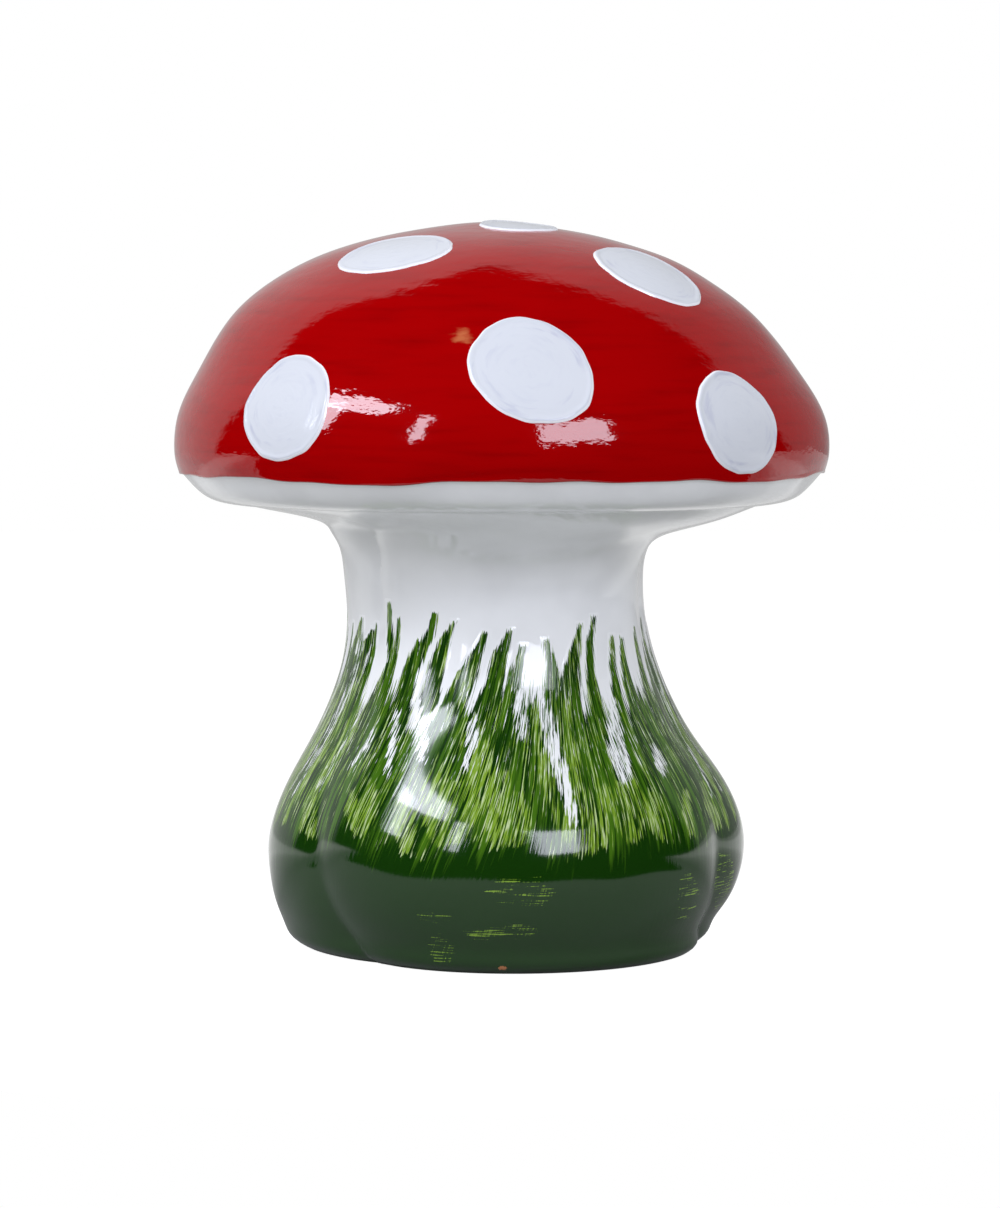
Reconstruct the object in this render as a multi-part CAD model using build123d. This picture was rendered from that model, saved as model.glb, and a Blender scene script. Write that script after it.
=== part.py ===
"""Ceramic mushroom ornament: a hollow three-lobed stem under a hollow spotted cap.

Millimetres, +Z up. The origin lies on the ground under the middle of the foot, and the front
faces -Y. An azimuth is in degrees from the front, positive towards +X.
"""

import os
from math import ceil, cos, pi, radians, sin

from build123d import *

# Cap
cap_diameter = 222.0
cap_rise = 75.0
rim_drop = 10.0
underside_drop = 10.0
dome_wall = 5.5
rim_tuck = 1.6
rim_step = 1.4

# Stem
stem_height = 150.0
neck_diameter = 104.0
belly_diameter = 166.0
collar_diameter = 180.0
stem_wall = 6.0
seam_azimuths = (-53.0, 70.0, 190.0)

# Joint between the underside and the collar
groove_depth = 1.5
seat_clearance = 0.2
ledge_reach = 6.0
ledge_thickness = 5.0

# Lip that centres the dome on the underside
lip_height = 6.0
lip_thickness = 4.5
lip_clearance = 0.2

# Slip beads
rim_bead_height = 4.0
rim_bead_width = 4.0
groove_bead_crown = 0.5
bead_clearance = 0.05

# Enamel spots
spot_diameter = 38.0
spot_thickness = 0.8
spot_clearance = 0.08

# Green enamel coat
coat_thickness = 0.5
coat_clearance = 0.08
blade_tip_height = 111.0
blade_valley_height = 82.0
blade_pitch = 12.0

# Run past a face that a cut or an intersection goes through
overrun = 12.0

# Halfway up from the paint line to the widest line: (share of the tuck left, share of the drop)
rim_turn_share = (0.17, 0.5)

# Crown line of the cap: (share of the cap's radius, share of the rise)
dome_line_shares = (
    (1.0, 0.0),
    (0.989, 0.115),
    (0.961, 0.217),
    (0.918, 0.325),
    (0.872, 0.433),
    (0.786, 0.594),
    (0.673, 0.728),
    (0.545, 0.834),
    (0.392, 0.912),
    (0.2135, 0.967),
    (0.0, 1.0),
)

# Where the underside's roll passes between collar and rim: (share of its reach, of its drop)
roll_share = (0.62, 0.35)

# Stem up to the neck: (share of the height, swell from neck to belly at the front and at the
# sides, crease depth, lean to +X)
stem_line_shares = (
    (0.0, 0.66, 0.5, 0.13, 0.0),
    (0.009, 0.74, 0.59, 0.13, 0.0),
    (0.04, 0.81, 0.73, 0.13, 0.0),
    (0.09, 0.89, 0.865, 0.12, 0.01),
    (0.15, 0.975, 0.96, 0.11, 0.02),
    (0.23, 1.0, 1.0, 0.1, 0.025),
    (0.31, 0.92, 0.9, 0.09, 0.025),
    (0.395, 0.71, 0.68, 0.08, 0.018),
    (0.477, 0.46, 0.43, 0.08, 0.008),
    (0.56, 0.23, 0.23, 0.07, 0.002),
    (0.64, 0.085, 0.085, 0.07, -0.004),
    (0.745, 0.0, 0.0, 0.07, -0.016),
    (0.83, 0.0, 0.0, 0.06, -0.026),
)

# Rows of the foot's rounding, which the hollow leaves out
rounding_rows = 3

# Flare above it: (share of the height, reach to the collar at the front, sides and creases, lean
# to +X). The last rows run on past the collar, which trims them.
flare_line_shares = (
    (0.873, 0.07, 0.02, 0.01, -0.026),
    (0.907, 0.2, 0.07, 0.04, -0.022),
    (0.935, 0.38, 0.19, 0.13, 0.0),
    (0.96, 0.61, 0.45, 0.37, 0.06),
    (0.983, 0.85, 0.77, 0.73, 0.036),
    (1.0, 1.0, 1.0, 1.0, 0.0),
    (1.022, 1.16, 1.16, 1.16, 0.0),
    (1.05, 1.34, 1.34, 1.34, 0.0),
)

# Spots: name, azimuth, share of the way up the crown line, length and width as shares, tilt
spot_shares = (
    ("spot_front_middle", 6.0, 0.245, 1.08, 1.0, -44.0),
    ("spot_front_left", -39.8, 0.16, 0.96, 0.96, -12.0),
    ("spot_front_right", 44.3, 0.125, 0.95, 0.91, -10.0),
    ("spot_right", 106.0, 0.19, 1.05, 0.92, 30.0),
    ("spot_back_right", 150.0, 0.26, 1.0, 0.9, -35.0),
    ("spot_back_left", -162.0, 0.16, 1.1, 0.93, 15.0),
    ("spot_left", -108.0, 0.22, 1.02, 0.9, 60.0),
    ("spot_upper_left", -33.0, 0.627, 1.05, 0.88, 9.0),
    ("spot_upper_right", 47.5, 0.53, 1.0, 1.0, -48.0),
    ("spot_upper_back_right", 137.0, 0.57, 1.05, 0.93, 40.0),
    ("spot_upper_back_left", -134.0, 0.55, 1.1, 0.95, -20.0),
    ("spot_crown", 30.0, 0.88, 0.8, 0.7, 60.0),
)
spot_wobble_shares = (0.035, 0.02)

# How much the blades differ: their tips, the valleys between them, and their lean
blade_spread_shares = (0.16, 0.12, 0.18)

# Points round a spot's outline
spot_points = 18

# How sharply the lobes turn in at a crease, and the points round each lobe
lobe_fullness = 0.6
lobe_points = 8

cap_radius = cap_diameter / 2
neck_radius = neck_diameter / 2
belly_radius = belly_diameter / 2
collar_radius = collar_diameter / 2
collar_top = stem_height + stem_wall
rim_height = stem_height + underside_drop
widest_height = rim_height + rim_drop
rim_radius = cap_radius - rim_tuck
lip_radius = rim_radius - dome_wall - lip_clearance
lip_top = rim_height + lip_height


def flat(radius, height):
    """A point of a profile that is turned about the axis."""
    return Vector(radius, 0, height)


def turned(*edges):
    """The solid that a closed profile makes about the axis."""
    return revolve(Face(Wire(edges)), axis=Axis.Z)


def closed(*corners):
    """A closed profile of straight lines through (radius, height) corners."""
    return turned(*Polyline(*[flat(*corner) for corner in corners], close=True).edges())


def crown_line():
    """The dome's outer line, from the paint line at the rim to the crown."""
    tuck_left, drop_left = rim_turn_share
    turn = flat(cap_radius - rim_tuck * tuck_left, widest_height - rim_drop * drop_left)
    rise = [
        flat(cap_radius * out, widest_height + cap_rise * up) for out, up in dome_line_shares
    ]
    return Spline(flat(rim_radius, rim_height), turn, *rise)


def offset_line(line, distance):
    """The crown line moved outwards by a distance, square to itself."""
    stations = len(dome_line_shares) * 2
    points = []
    for station in range(stations + 1):
        share = station / stations
        along = line.tangent_at(share)
        outwards = Vector(along.Z, 0, -along.X).normalized()
        points.append(line.position_at(share) + outwards * distance)
    points[0] = flat(points[0].X, rim_height)
    points[-1] = flat(0, points[-1].Z)
    return Spline(*points)


def shell_between(inner, outer):
    """The turned shell between two lines that both run from the rim to the axis."""
    foot = Line(inner @ 0, outer @ 0)
    crown = Line(outer @ 1, inner @ 1)
    return turned(foot, outer, crown, inner)


def cap_dome():
    """The red upper casting, a shell of even wall with a flat ring as its lower edge."""
    line = crown_line()
    return shell_between(offset_line(line, -dome_wall), line)


def cap_underside():
    """The white lower ring: a rolled face, a ledge on the collar and a lip inside the dome."""
    seat_radius = collar_radius + seat_clearance
    roll_start = flat(seat_radius + groove_depth, stem_height)
    roll_end = flat(rim_radius - rim_step, rim_height)
    roll_middle = flat(
        roll_start.X + (roll_end.X - roll_start.X) * roll_share[0],
        roll_start.Z + (roll_end.Z - roll_start.Z) * roll_share[1],
    )
    ledge_top = collar_top + ledge_thickness
    roll = ThreePointArc(roll_start, roll_middle, roll_end)
    rest = Polyline(
        roll_end,
        flat(lip_radius, rim_height),
        flat(lip_radius, lip_top),
        flat(lip_radius - lip_thickness, lip_top),
        flat(lip_radius - lip_thickness, ledge_top),
        flat(collar_radius - ledge_reach, ledge_top),
        flat(collar_radius - ledge_reach, collar_top),
        flat(seat_radius, collar_top),
        flat(seat_radius, stem_height + groove_depth),
        roll_start,
    )
    return turned(roll, *rest.edges())


def lobe_place(azimuth):
    """Which lobe an azimuth is in (0 front, 1 right, 2 left) and how far across it, 0 to 1."""
    starts = list(seam_azimuths)
    for lobe, start in enumerate(starts):
        end = starts[(lobe + 1) % len(starts)]
        span = (end - start) % 360
        across = (azimuth - start) % 360
        if across < span:
            return lobe, across / span
    return 0, 0.0


def bulge(across):
    """How far a lobe stands out: 0 in a crease and 1 in the middle of the lobe."""
    return max(sin(pi * across), 0.0) ** lobe_fullness


def section_azimuths():
    """The azimuths of a section's points, evenly spread over each lobe from its crease."""
    azimuths = []
    for lobe, start in enumerate(seam_azimuths):
        span = (seam_azimuths[(lobe + 1) % len(seam_azimuths)] - start) % 360
        azimuths += [start + span * point / lobe_points for point in range(lobe_points)]
    return azimuths


def stem_rows():
    """Every section as (height, radius of each lobe, crease radius, lean, rise of the inside).

    The inside of the flare lies above its outside, so it rises by the wall towards the collar.
    """
    rows = []
    for up, front, side, crease, lean in stem_line_shares:
        middle = neck_radius + (belly_radius - neck_radius) * front
        flank = neck_radius + (belly_radius - neck_radius) * side
        lobes = [middle, flank, flank]
        rows.append((stem_height * up, lobes, middle * (1 - crease), belly_radius * lean, 0))
    top_crease = stem_line_shares[-1][3]
    reach = collar_radius - groove_depth - neck_radius
    for up, front, side, crease, lean in flare_line_shares:
        lobes = [neck_radius + reach * front] + [neck_radius + reach * side] * 2
        bottom = neck_radius * (1 - top_crease * (1 - crease)) + reach * crease
        rise = stem_wall * min(front, 1) ** 0.5
        rows.append((stem_height * up, lobes, bottom, belly_radius * lean, rise))
    return rows


def section(row, grow=0.0, lift=0.0):
    """The closed outline of the stem at one row, grown outwards and lifted."""
    height, lobes, crease, lean, _ = row
    points = []
    for azimuth in section_azimuths():
        lobe, across = lobe_place(azimuth)
        radius = crease + (lobes[lobe] - crease) * bulge(across) + grow
        turn = radians(azimuth)
        points.append((lean + radius * sin(turn), -radius * cos(turn), height + lift))
    return Wire([Spline(*points, periodic=True)])


def stem_skin(rows, grow=0.0):
    """The solid inside the stem's surface over some rows, grown outwards."""
    return Solid.make_loft([section(row, grow) for row in rows])


def stem_hollow(rows):
    """The inside of the stem, open at the foot and at the collar's top."""
    mouth = [section(rows[0], -stem_wall, drop) for drop in (-overrun, 0)]
    above = [section(row, -stem_wall, row[-1]) for row in rows[rounding_rows:]]
    return Solid.make_loft([*mouth, *above])


def stem_body():
    """The lobed hollow stem with its flared collar, one casting."""
    rows = stem_rows()
    widest = max(belly_radius, collar_radius) + overrun
    neck_top = stem_height * stem_line_shares[-1][0]
    trim = closed(
        (0, 0),
        (widest, 0),
        (widest, neck_top),
        (collar_radius, neck_top),
        (collar_radius, collar_top),
        (0, collar_top),
    )
    side = 2 * groove_depth
    groove = closed(
        (collar_radius - side, stem_height + groove_depth - side),
        (collar_radius + side, stem_height + groove_depth + side),
        (collar_radius + side, stem_height + groove_depth - side),
    )
    return (stem_skin(rows) & trim) - groove - stem_hollow(rows)


def rim_slip_bead():
    """The ring of slip on top of the lip, against the dome's inner wall."""
    outer = lip_radius - bead_clearance
    inner = outer - rim_bead_width
    return closed(
        (outer, lip_top),
        (outer, lip_top + rim_bead_height),
        (outer - rim_bead_width / 2, lip_top + rim_bead_height / 2),
        (inner, lip_top),
    )


def collar_slip_bead():
    """The ring of slip that fills the groove between collar and underside and stands proud."""
    inner = collar_radius - groove_depth + bead_clearance
    outer = collar_radius + seat_clearance + groove_depth - bead_clearance
    middle = (inner + outer) / 2
    apex = stem_height + (outer - inner - seat_clearance) / 2
    proud = ThreePointArc(
        flat(inner, stem_height),
        flat(middle, stem_height - groove_bead_crown),
        flat(outer, stem_height),
    )
    sides = Polyline(
        flat(outer, stem_height),
        flat(middle + seat_clearance / 2, apex),
        flat(middle - seat_clearance / 2, apex),
        flat(inner, stem_height),
    )
    return turned(proud, *sides.edges())


def spot_outline(plane, length, width, tilt, phase):
    """A hand-painted round, an oval whose edge wanders a little."""
    third, fifth = spot_wobble_shares
    points = []
    for step in range(spot_points):
        turn = 2 * pi * step / spot_points
        edge = 1 + third * cos(3 * turn + phase) + fifth * cos(5 * turn + 2 * phase)
        points.append(Vector(length / 2 * edge * cos(turn), width / 2 * edge * sin(turn)))
    outline = Wire([Spline(*points, periodic=True)]).rotate(Axis.Z, tilt)
    return plane.from_local_coords(Face(outline))


def enamel_spots():
    """The raised spots, each cut from a thin shell just above the dome."""
    line = crown_line()
    enamel = shell_between(
        offset_line(line, spot_clearance), offset_line(line, spot_clearance + spot_thickness)
    )
    spots = {}
    for number, (name, azimuth, climb, length, width, tilt) in enumerate(spot_shares):
        place = line.position_at(climb)
        along = line.tangent_at(climb)
        turn = radians(azimuth)
        side = Vector(cos(turn), sin(turn), 0)
        outwards = Vector(sin(turn), -cos(turn), 0)
        normal = outwards * along.Z + Vector(0, 0, -along.X)
        centre = outwards * place.X + Vector(0, 0, place.Z)
        plane = Plane(origin=centre, x_dir=side, z_dir=normal)
        face = spot_outline(plane, spot_diameter * length, spot_diameter * width, tilt, number)
        spots[name] = enamel & extrude(face, amount=overrun, both=True)
    return spots


def blade_crown(bottom):
    """A ring of upright blades with pointed tips, as a closed solid of flat faces."""
    inner, outer = neck_radius / 2, belly_radius + overrun
    count = ceil(pi * neck_diameter / blade_pitch)
    drop = blade_tip_height - blade_valley_height
    tip_spread, valley_spread, lean_spread = blade_spread_shares
    tops = []
    for blade in range(count):
        start = 360 * blade / count
        pitch = 360 / count
        tip = blade_tip_height - drop * tip_spread * (1 + sin(2.3 * blade) * cos(0.7 * blade))
        valley = blade_valley_height + drop * valley_spread * (1 + sin(1.7 * blade + 1))
        tops.append((start, valley))
        tops.append((start + pitch * (0.5 + lean_spread * sin(1.3 * blade)), tip))

    def corner(radius, azimuth, height):
        turn = radians(azimuth)
        return Vector(radius * sin(turn), -radius * cos(turn), height)

    def flat_face(*corners):
        return Face(Wire.make_polygon(corners, close=True))

    faces = []
    for (one, low), (two, high) in zip(tops, tops[1:] + tops[:1]):
        a, b = corner(inner, one, bottom), corner(outer, one, bottom)
        c, d = corner(outer, two, bottom), corner(inner, two, bottom)
        e, f = corner(inner, one, low), corner(outer, one, low)
        g, h = corner(outer, two, high), corner(inner, two, high)
        faces += [flat_face(a, b, c, d), flat_face(b, c, g, f), flat_face(a, d, h, e)]
        faces += [flat_face(e, f, g), flat_face(e, g, h)]
    return Solid(Shell(faces))


def grass_coat():
    """The green enamel round the lower stem, a thin skin that ends in blades."""
    rows = stem_rows()
    bottom = rows[1][0]
    outside = stem_skin(rows, coat_clearance + coat_thickness) & blade_crown(bottom)
    return outside - stem_skin(rows, coat_clearance)


def build():
    """Every piece by its node's name."""
    return {
        "cap_dome": cap_dome(),
        "cap_underside": cap_underside(),
        "stem_body": stem_body(),
        "rim_slip_bead": rim_slip_bead(),
        "collar_slip_bead": collar_slip_bead(),
        "grass_coat": grass_coat(),
        **enamel_spots(),
    }


os.makedirs("parts", exist_ok=True)
for node, solid in build().items():
    export_step(solid, f"parts/{node}.step")
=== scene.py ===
"""Ceramic mushroom ornament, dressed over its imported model.

The cap is a cast shell brushed with red enamel, with raised white spots. The stem is a cast tube of
three lobes under white glaze, and its grass is green overglaze enamel laid on with a stiff brush.
Lengths are in millimetres until a mesh is made, +Z is up and the front faces -Y. An azimuth is in
degrees from the front, positive towards +X.
"""

from math import atan, cos, pi, radians, sin

import bmesh
import bpy
import numpy as np
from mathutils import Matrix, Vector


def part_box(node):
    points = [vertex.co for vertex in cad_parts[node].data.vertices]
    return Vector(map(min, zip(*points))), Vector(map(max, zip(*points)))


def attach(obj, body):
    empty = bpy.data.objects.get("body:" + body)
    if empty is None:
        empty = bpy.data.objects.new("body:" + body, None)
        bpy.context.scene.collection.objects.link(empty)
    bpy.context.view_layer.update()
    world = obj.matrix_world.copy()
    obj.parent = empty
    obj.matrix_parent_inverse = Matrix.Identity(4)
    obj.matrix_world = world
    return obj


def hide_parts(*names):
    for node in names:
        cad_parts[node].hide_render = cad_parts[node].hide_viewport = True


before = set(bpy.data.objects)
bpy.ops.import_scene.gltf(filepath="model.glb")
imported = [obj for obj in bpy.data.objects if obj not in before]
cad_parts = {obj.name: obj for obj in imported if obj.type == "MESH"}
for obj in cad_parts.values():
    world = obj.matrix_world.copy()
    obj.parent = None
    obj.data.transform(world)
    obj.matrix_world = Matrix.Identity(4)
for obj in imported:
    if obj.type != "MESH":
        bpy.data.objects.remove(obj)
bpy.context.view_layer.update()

bl_info = {
    "name": "Ceramic mushroom ornament",
    "version": (1, 0, 0),
    "blender": (4, 5, 0),
    "location": "3D View > Sidebar > Mushroom",
    "description": "Builds the ornament's cap, spots, stem, grass and studio",
    "category": "Add Mesh",
}

MM = 0.001

# The camera: where it stands, its focal length in pixels, and its horizon in the picture
CAMERA_DISTANCE = 1291.0
CAMERA_HEIGHT = 199.9
CAMERA_SIDE = -0.7
FOCAL_PX = 3800.0
PICTURE_PX = (1000, 1208)
HORIZON_PX = 355.0
SENSOR_HEIGHT = 24.0
CAMERA_REACH = 20.0

# Cap sizes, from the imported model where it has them. The rim tucks in under the widest place, the
# underside's edge steps in from it, and the underside sits with clearance on the stem's collar
CAP_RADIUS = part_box("cap_dome")[1].x / MM
RIM_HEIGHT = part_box("cap_dome")[0].z / MM
CROWN_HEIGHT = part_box("cap_dome")[1].z / MM
LIP_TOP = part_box("cap_underside")[1].z / MM
COLLAR_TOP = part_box("stem_body")[1].z / MM
COLLAR_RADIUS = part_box("stem_body")[1].x / MM
RIM_DROP = 10.0
RIM_TUCK = 1.6
RIM_STEP = 1.4
DOME_WALL = 5.5
LIP_THICKNESS = 4.5
LEDGE_REACH = 6.0
LEDGE_THICKNESS = 5.0
SEAT_CLEARANCE = 0.2
GROOVE_DEPTH = 1.5
RIM_RADIUS = CAP_RADIUS - RIM_TUCK
WIDEST_HEIGHT = RIM_HEIGHT + RIM_DROP

# Stem sizes
STEM_HEIGHT = 150.0
NECK_RADIUS = 52.0
BELLY_RADIUS = 83.0
STEM_WALL = 6.0

# The crown line: the place where the rim turns, as shares of its tuck and drop, and then (share
# of the cap's radius, share of the height above the widest place)
rim_turn_share = (0.17, 0.5)
dome_line_shares = (
    (1.0, 0.0),
    (0.989, 0.115),
    (0.961, 0.217),
    (0.918, 0.325),
    (0.872, 0.433),
    (0.786, 0.594),
    (0.673, 0.728),
    (0.545, 0.834),
    (0.392, 0.912),
    (0.2135, 0.967),
    (0.0, 1.0),
)
# The underside's roll: share of the way out, share of the drop
roll_share = (0.62, 0.35)
DOME_LINE_STEPS = 3001

# Stem rows: (share of the height, swell from neck to belly at the front and at the sides, crease
# depth, lean to +X)
stem_line_shares = (
    (0.0, 0.66, 0.5, 0.13, 0.0),
    (0.009, 0.74, 0.59, 0.13, 0.0),
    (0.04, 0.81, 0.73, 0.13, 0.0),
    (0.09, 0.89, 0.865, 0.12, 0.01),
    (0.15, 0.975, 0.96, 0.11, 0.02),
    (0.23, 1.0, 1.0, 0.1, 0.025),
    (0.31, 0.92, 0.9, 0.09, 0.025),
    (0.395, 0.71, 0.68, 0.08, 0.018),
    (0.477, 0.46, 0.43, 0.08, 0.008),
    (0.56, 0.23, 0.23, 0.07, 0.002),
    (0.64, 0.085, 0.085, 0.07, -0.004),
    (0.745, 0.0, 0.0, 0.07, -0.016),
    (0.83, 0.0, 0.0, 0.06, -0.026),
)

# Flare rows: (share of the height, reach to the collar at the front, sides and creases, lean to +X)
flare_line_shares = (
    (0.873, 0.07, 0.02, 0.01, -0.026),
    (0.907, 0.2, 0.07, 0.04, -0.022),
    (0.935, 0.38, 0.19, 0.13, 0.0),
    (0.96, 0.61, 0.45, 0.37, 0.06),
    (0.983, 0.85, 0.77, 0.73, 0.036),
    (1.0, 1.0, 1.0, 1.0, 0.0),
    (1.022, 1.16, 1.16, 1.16, 0.0),
    (1.05, 1.34, 1.34, 1.34, 0.0),
)

# How the three creases wander up the stem: (share of the height, left, right and back azimuths)
crease_line_shares = (
    (0.0, -38.0, 76.0, 190.0),
    (0.06, -45.0, 72.0, 189.0),
    (0.13, -51.0, 68.0, 188.0),
    (0.21, -54.5, 66.0, 187.0),
    (0.32, -57.5, 67.0, 188.0),
    (0.46, -58.5, 71.0, 190.0),
    (0.6, -56.4, 75.0, 191.0),
    (0.8, -51.0, 79.0, 190.0),
    (1.0, -48.0, 82.0, 189.0),
)
LOBE_FULLNESS = 0.6

# Spots: node, azimuth, share of the way up the crown line, length and width as shares, tilt
spot_shares = (
    ("spot_front_middle", 6.0, 0.245, 1.08, 1.0, -44.0),
    ("spot_front_left", -39.8, 0.16, 0.96, 0.96, -12.0),
    ("spot_front_right", 44.3, 0.125, 0.95, 0.91, -10.0),
    ("spot_right", 106.0, 0.19, 1.05, 0.92, 30.0),
    ("spot_back_right", 150.0, 0.26, 1.0, 0.9, -35.0),
    ("spot_back_left", -162.0, 0.16, 1.1, 0.93, 15.0),
    ("spot_left", -108.0, 0.22, 1.02, 0.9, 60.0),
    ("spot_upper_left", -33.0, 0.627, 1.05, 0.88, 9.0),
    ("spot_upper_right", 47.5, 0.53, 1.0, 1.0, -48.0),
    ("spot_upper_back_right", 137.0, 0.57, 1.05, 0.93, 40.0),
    ("spot_upper_back_left", -134.0, 0.55, 1.1, 0.95, -20.0),
    ("spot_crown", 30.0, 0.88, 0.8, 0.7, 60.0),
)
SPOT_DIAMETER = 38.0
# How deep a spot's hidden face and its bed lie in the dome
SPOT_SINK = 0.3
SPOT_BED = 0.12
# A spot's uneven outline: (waves round it, depth, phase, how the phase steps from spot to spot)
spot_waves = ((3, 0.02, pi / 2, 1), (5, 0.01, pi / 2, 2), (11, 0.005, 0.0, 3), (17, 0.003, 0.0, 1))
spot_turns = np.linspace(0, 2 * pi, 97)[:-1]
# Rings of a spot as shares of its radius: its hidden face outwards, then its top inwards
spot_bed_shares = (0.3, 0.7, 0.95, 1.0)
spot_top_shares = (
    *(0.993, 0.982, 0.97, 0.957, 0.942, 0.925, 0.905),
    *(0.88, 0.85, 0.8, 0.7, 0.5, 0.3, 0.1),
)
# Its edge as shares of its radius: how wide the bank is, and the ridge's middle and half width
SPOT_BANK = 0.04
SPOT_RIDGE = 0.93
SPOT_RIDGE_WIDTH = 0.035
# Share of its radius at which its brush marks have their true length
SPOT_MARK_LOOP = 0.6
# In how many steps a ring is brought down on the dome
SPOT_STEPS = 8

# Brush strokes of the grass that the picture shows: (x, y, width) in its pixels, from the tip down
blade_strokes_px = (
    ((361, 619, 1), (352, 650, 4), (342, 689, 7), (322, 745, 14), (300, 790, 24)),
    ((373, 629, 2), (360, 655, 8), (349, 680, 11), (331, 725, 14), (318, 770, 20)),
    ((387, 603, 1), (389, 625, 5), (389, 643, 5), (388, 660, 1)),
    ((398, 619, 1), (394, 650, 5), (382, 685, 12), (356, 740, 18), (335, 780, 26)),
    ((393, 700, 2), (383, 735, 16), (370, 775, 34), (360, 800, 40)),
    ((434, 615, 2), (428, 635, 8), (420, 655, 6), (414, 675, 1)),
    ((418, 640, 3), (410, 668, 12), (400, 704, 14), (394, 730, 16), (385, 765, 30)),
    ((453, 622, 2), (444, 640, 8), (436, 665, 12), (427, 702, 14), (424, 716, 4)),
    ((485, 632, 2), (476, 652, 8), (466, 675, 14), (452, 705, 17), (437, 735, 22), (420, 775, 34)),
    ((511, 630, 2), (502, 652, 10), (495, 680, 14), (486, 705, 18), (472, 740, 24), (462, 780, 36)),
    ((524, 645, 2), (516, 672, 8), (511, 700, 12), (505, 740, 26), (500, 790, 44)),
    ((531, 702, 2), (530, 720, 5), (530, 750, 12), (530, 790, 26)),
    ((547, 640, 2), (553, 668, 8), (555, 685, 14), (553, 705, 18), (560, 740, 16), (567, 780, 24)),
    ((581, 624, 2), (577, 645, 7), (572, 672, 12), (569, 705, 18), (573, 740, 20), (582, 790, 30)),
    ((595, 617, 2), (591, 640, 5), (591, 672, 6), (597, 705, 9), (606, 745, 14), (614, 790, 30)),
    ((613, 636, 2), (614, 664, 4), (619, 700, 7), (627, 738, 10), (638, 780, 20)),
    ((622, 637, 2), (625, 661, 5), (634, 700, 8), (643, 736, 10), (654, 765, 16), (665, 800, 26)),
    ((635, 627, 1), (639, 654, 4), (648, 689, 6), (661, 722, 6), (676, 753, 7), (690, 780, 14)),
    ((641, 618, 1), (648, 654, 3), (661, 689, 4), (679, 725, 6), (696, 755, 10), (708, 790, 20)),
)

# Lime strokes of the last, drier pass over it, from the top down
lime_strokes_px = (
    ((311, 790, 3), (309, 812, 8), (311, 840, 3)),
    ((352, 790, 4), (351, 812, 12), (358, 835, 4)),
    ((372, 780, 4), (366, 810, 14), (362, 832, 5)),
    ((402, 790, 8), (404, 825, 16), (404, 853, 4)),
    ((432, 775, 10), (434, 812, 20), (438, 845, 6)),
    ((455, 780, 10), (452, 815, 18), (452, 843, 6)),
    ((480, 740, 8), (478, 790, 22), (474, 838, 8)),
    ((500, 770, 10), (496, 812, 24), (497, 846, 6)),
    ((514, 790, 10), (514, 820, 22), (516, 848, 6)),
    ((536, 700, 4), (545, 745, 10), (560, 795, 18), (574, 830, 18), (584, 860, 6)),
    ((576, 742, 4), (574, 775, 10), (578, 800, 12), (590, 840, 14), (594, 858, 4)),
    ((567, 700, 3), (568, 750, 6), (570, 800, 10)),
    ((604, 785, 6), (604, 815, 12), (604, 845, 4)),
    ((625, 780, 14), (628, 815, 26), (634, 842, 6)),
    ((648, 790, 8), (655, 815, 16), (664, 842, 5)),
    ((686, 790, 4), (688, 812, 8), (692, 835, 3)),
    ((702, 780, 4), (710, 805, 8), (720, 832, 4)),
)

# Places where the brush ran dry and the white glaze shows through, from the top down
dry_strokes_px = (
    ((541, 690, 5), (552, 740, 10), (566, 790, 8), (577, 825, 6)),
    ((614, 700, 3), (616, 730, 10), (622, 765, 12), (626, 782, 4)),
    ((655, 745, 3), (661, 765, 8), (664, 774, 3)),
    ((415, 700, 6), (420, 735, 10), (422, 762, 4)),
    ((474, 712, 2), (470, 740, 5), (466, 768, 2)),
    ((397, 712, 2), (392, 740, 4), (386, 775, 2)),
    ((372, 730, 2), (362, 750, 4), (352, 765, 2)),
    ((520, 690, 4), (521, 715, 6), (522, 740, 3)),
)

# Smears low on the green, where the brush went round the foot, from the top down
smear_strokes_px = (
    ((520, 878, 30), (521, 895, 50), (522, 908, 30)),
    ((500, 924, 30), (500, 932, 62), (498, 940, 30)),
    ((434, 910, 16), (434, 917, 28), (434, 924, 16)),
    ((440, 936, 8), (441, 950, 20), (443, 964, 12)),
    ((688, 874, 10), (690, 895, 20), (684, 922, 14)),
    ((726, 850, 8), (724, 885, 16), (716, 920, 8)),
)

strokes_px = {
    "blade": blade_strokes_px,
    "lime": lime_strokes_px,
    "dry": dry_strokes_px,
    "smear": smear_strokes_px,
}
# Rows of the picture between which the strokes grow fuller
spread_rows_px = (620, 720)
# How nearly edge on a stroke may be seen before its width is no longer corrected for that
EDGE_ON = 0.4

# The scuffed place beside the middle spot: its middle and half its size in the picture
scuff_px = (460, 336, 20, 12)

# The chip at the foot where orange clay shows
chip_px = (502, 968, 6, 3)

# Heights of the grass: its tips, its closed mass and the wet coat at the foot
GRASS_TIP_HEIGHT = 110.0
GRASS_MASS_HEIGHT = 85.0
GRASS_WET_HEIGHT = 34.0
# How the edges of the mass and of the wet coat wander: (waves round the stem, rise, phase)
mass_edge_waves = ((7, 2.5, 1.0), (16, 2.0, 0.0))
wet_edge_waves = ((9, 2.0, 2.0), (23, 1.5, 0.0))

# The grass where the picture doesn't show it: azimuths from blade to blade, and the first and last
FAR_BLADE_PITCH = 8.0
FAR_BLADE_START = 72.0
FAR_BLADE_END = 298.0
FAR_BLADE_LEAN = 0.2
# A stroke there: shares of the way up it, and its half widths at them in shares of the widest
far_rises = (0.0, 0.35, 0.7, 1.0)
blade_halves = (1.6, 1.0, 0.5, 0.1)
dab_halves = (0.3, 0.9, 1.0, 0.5)
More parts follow.
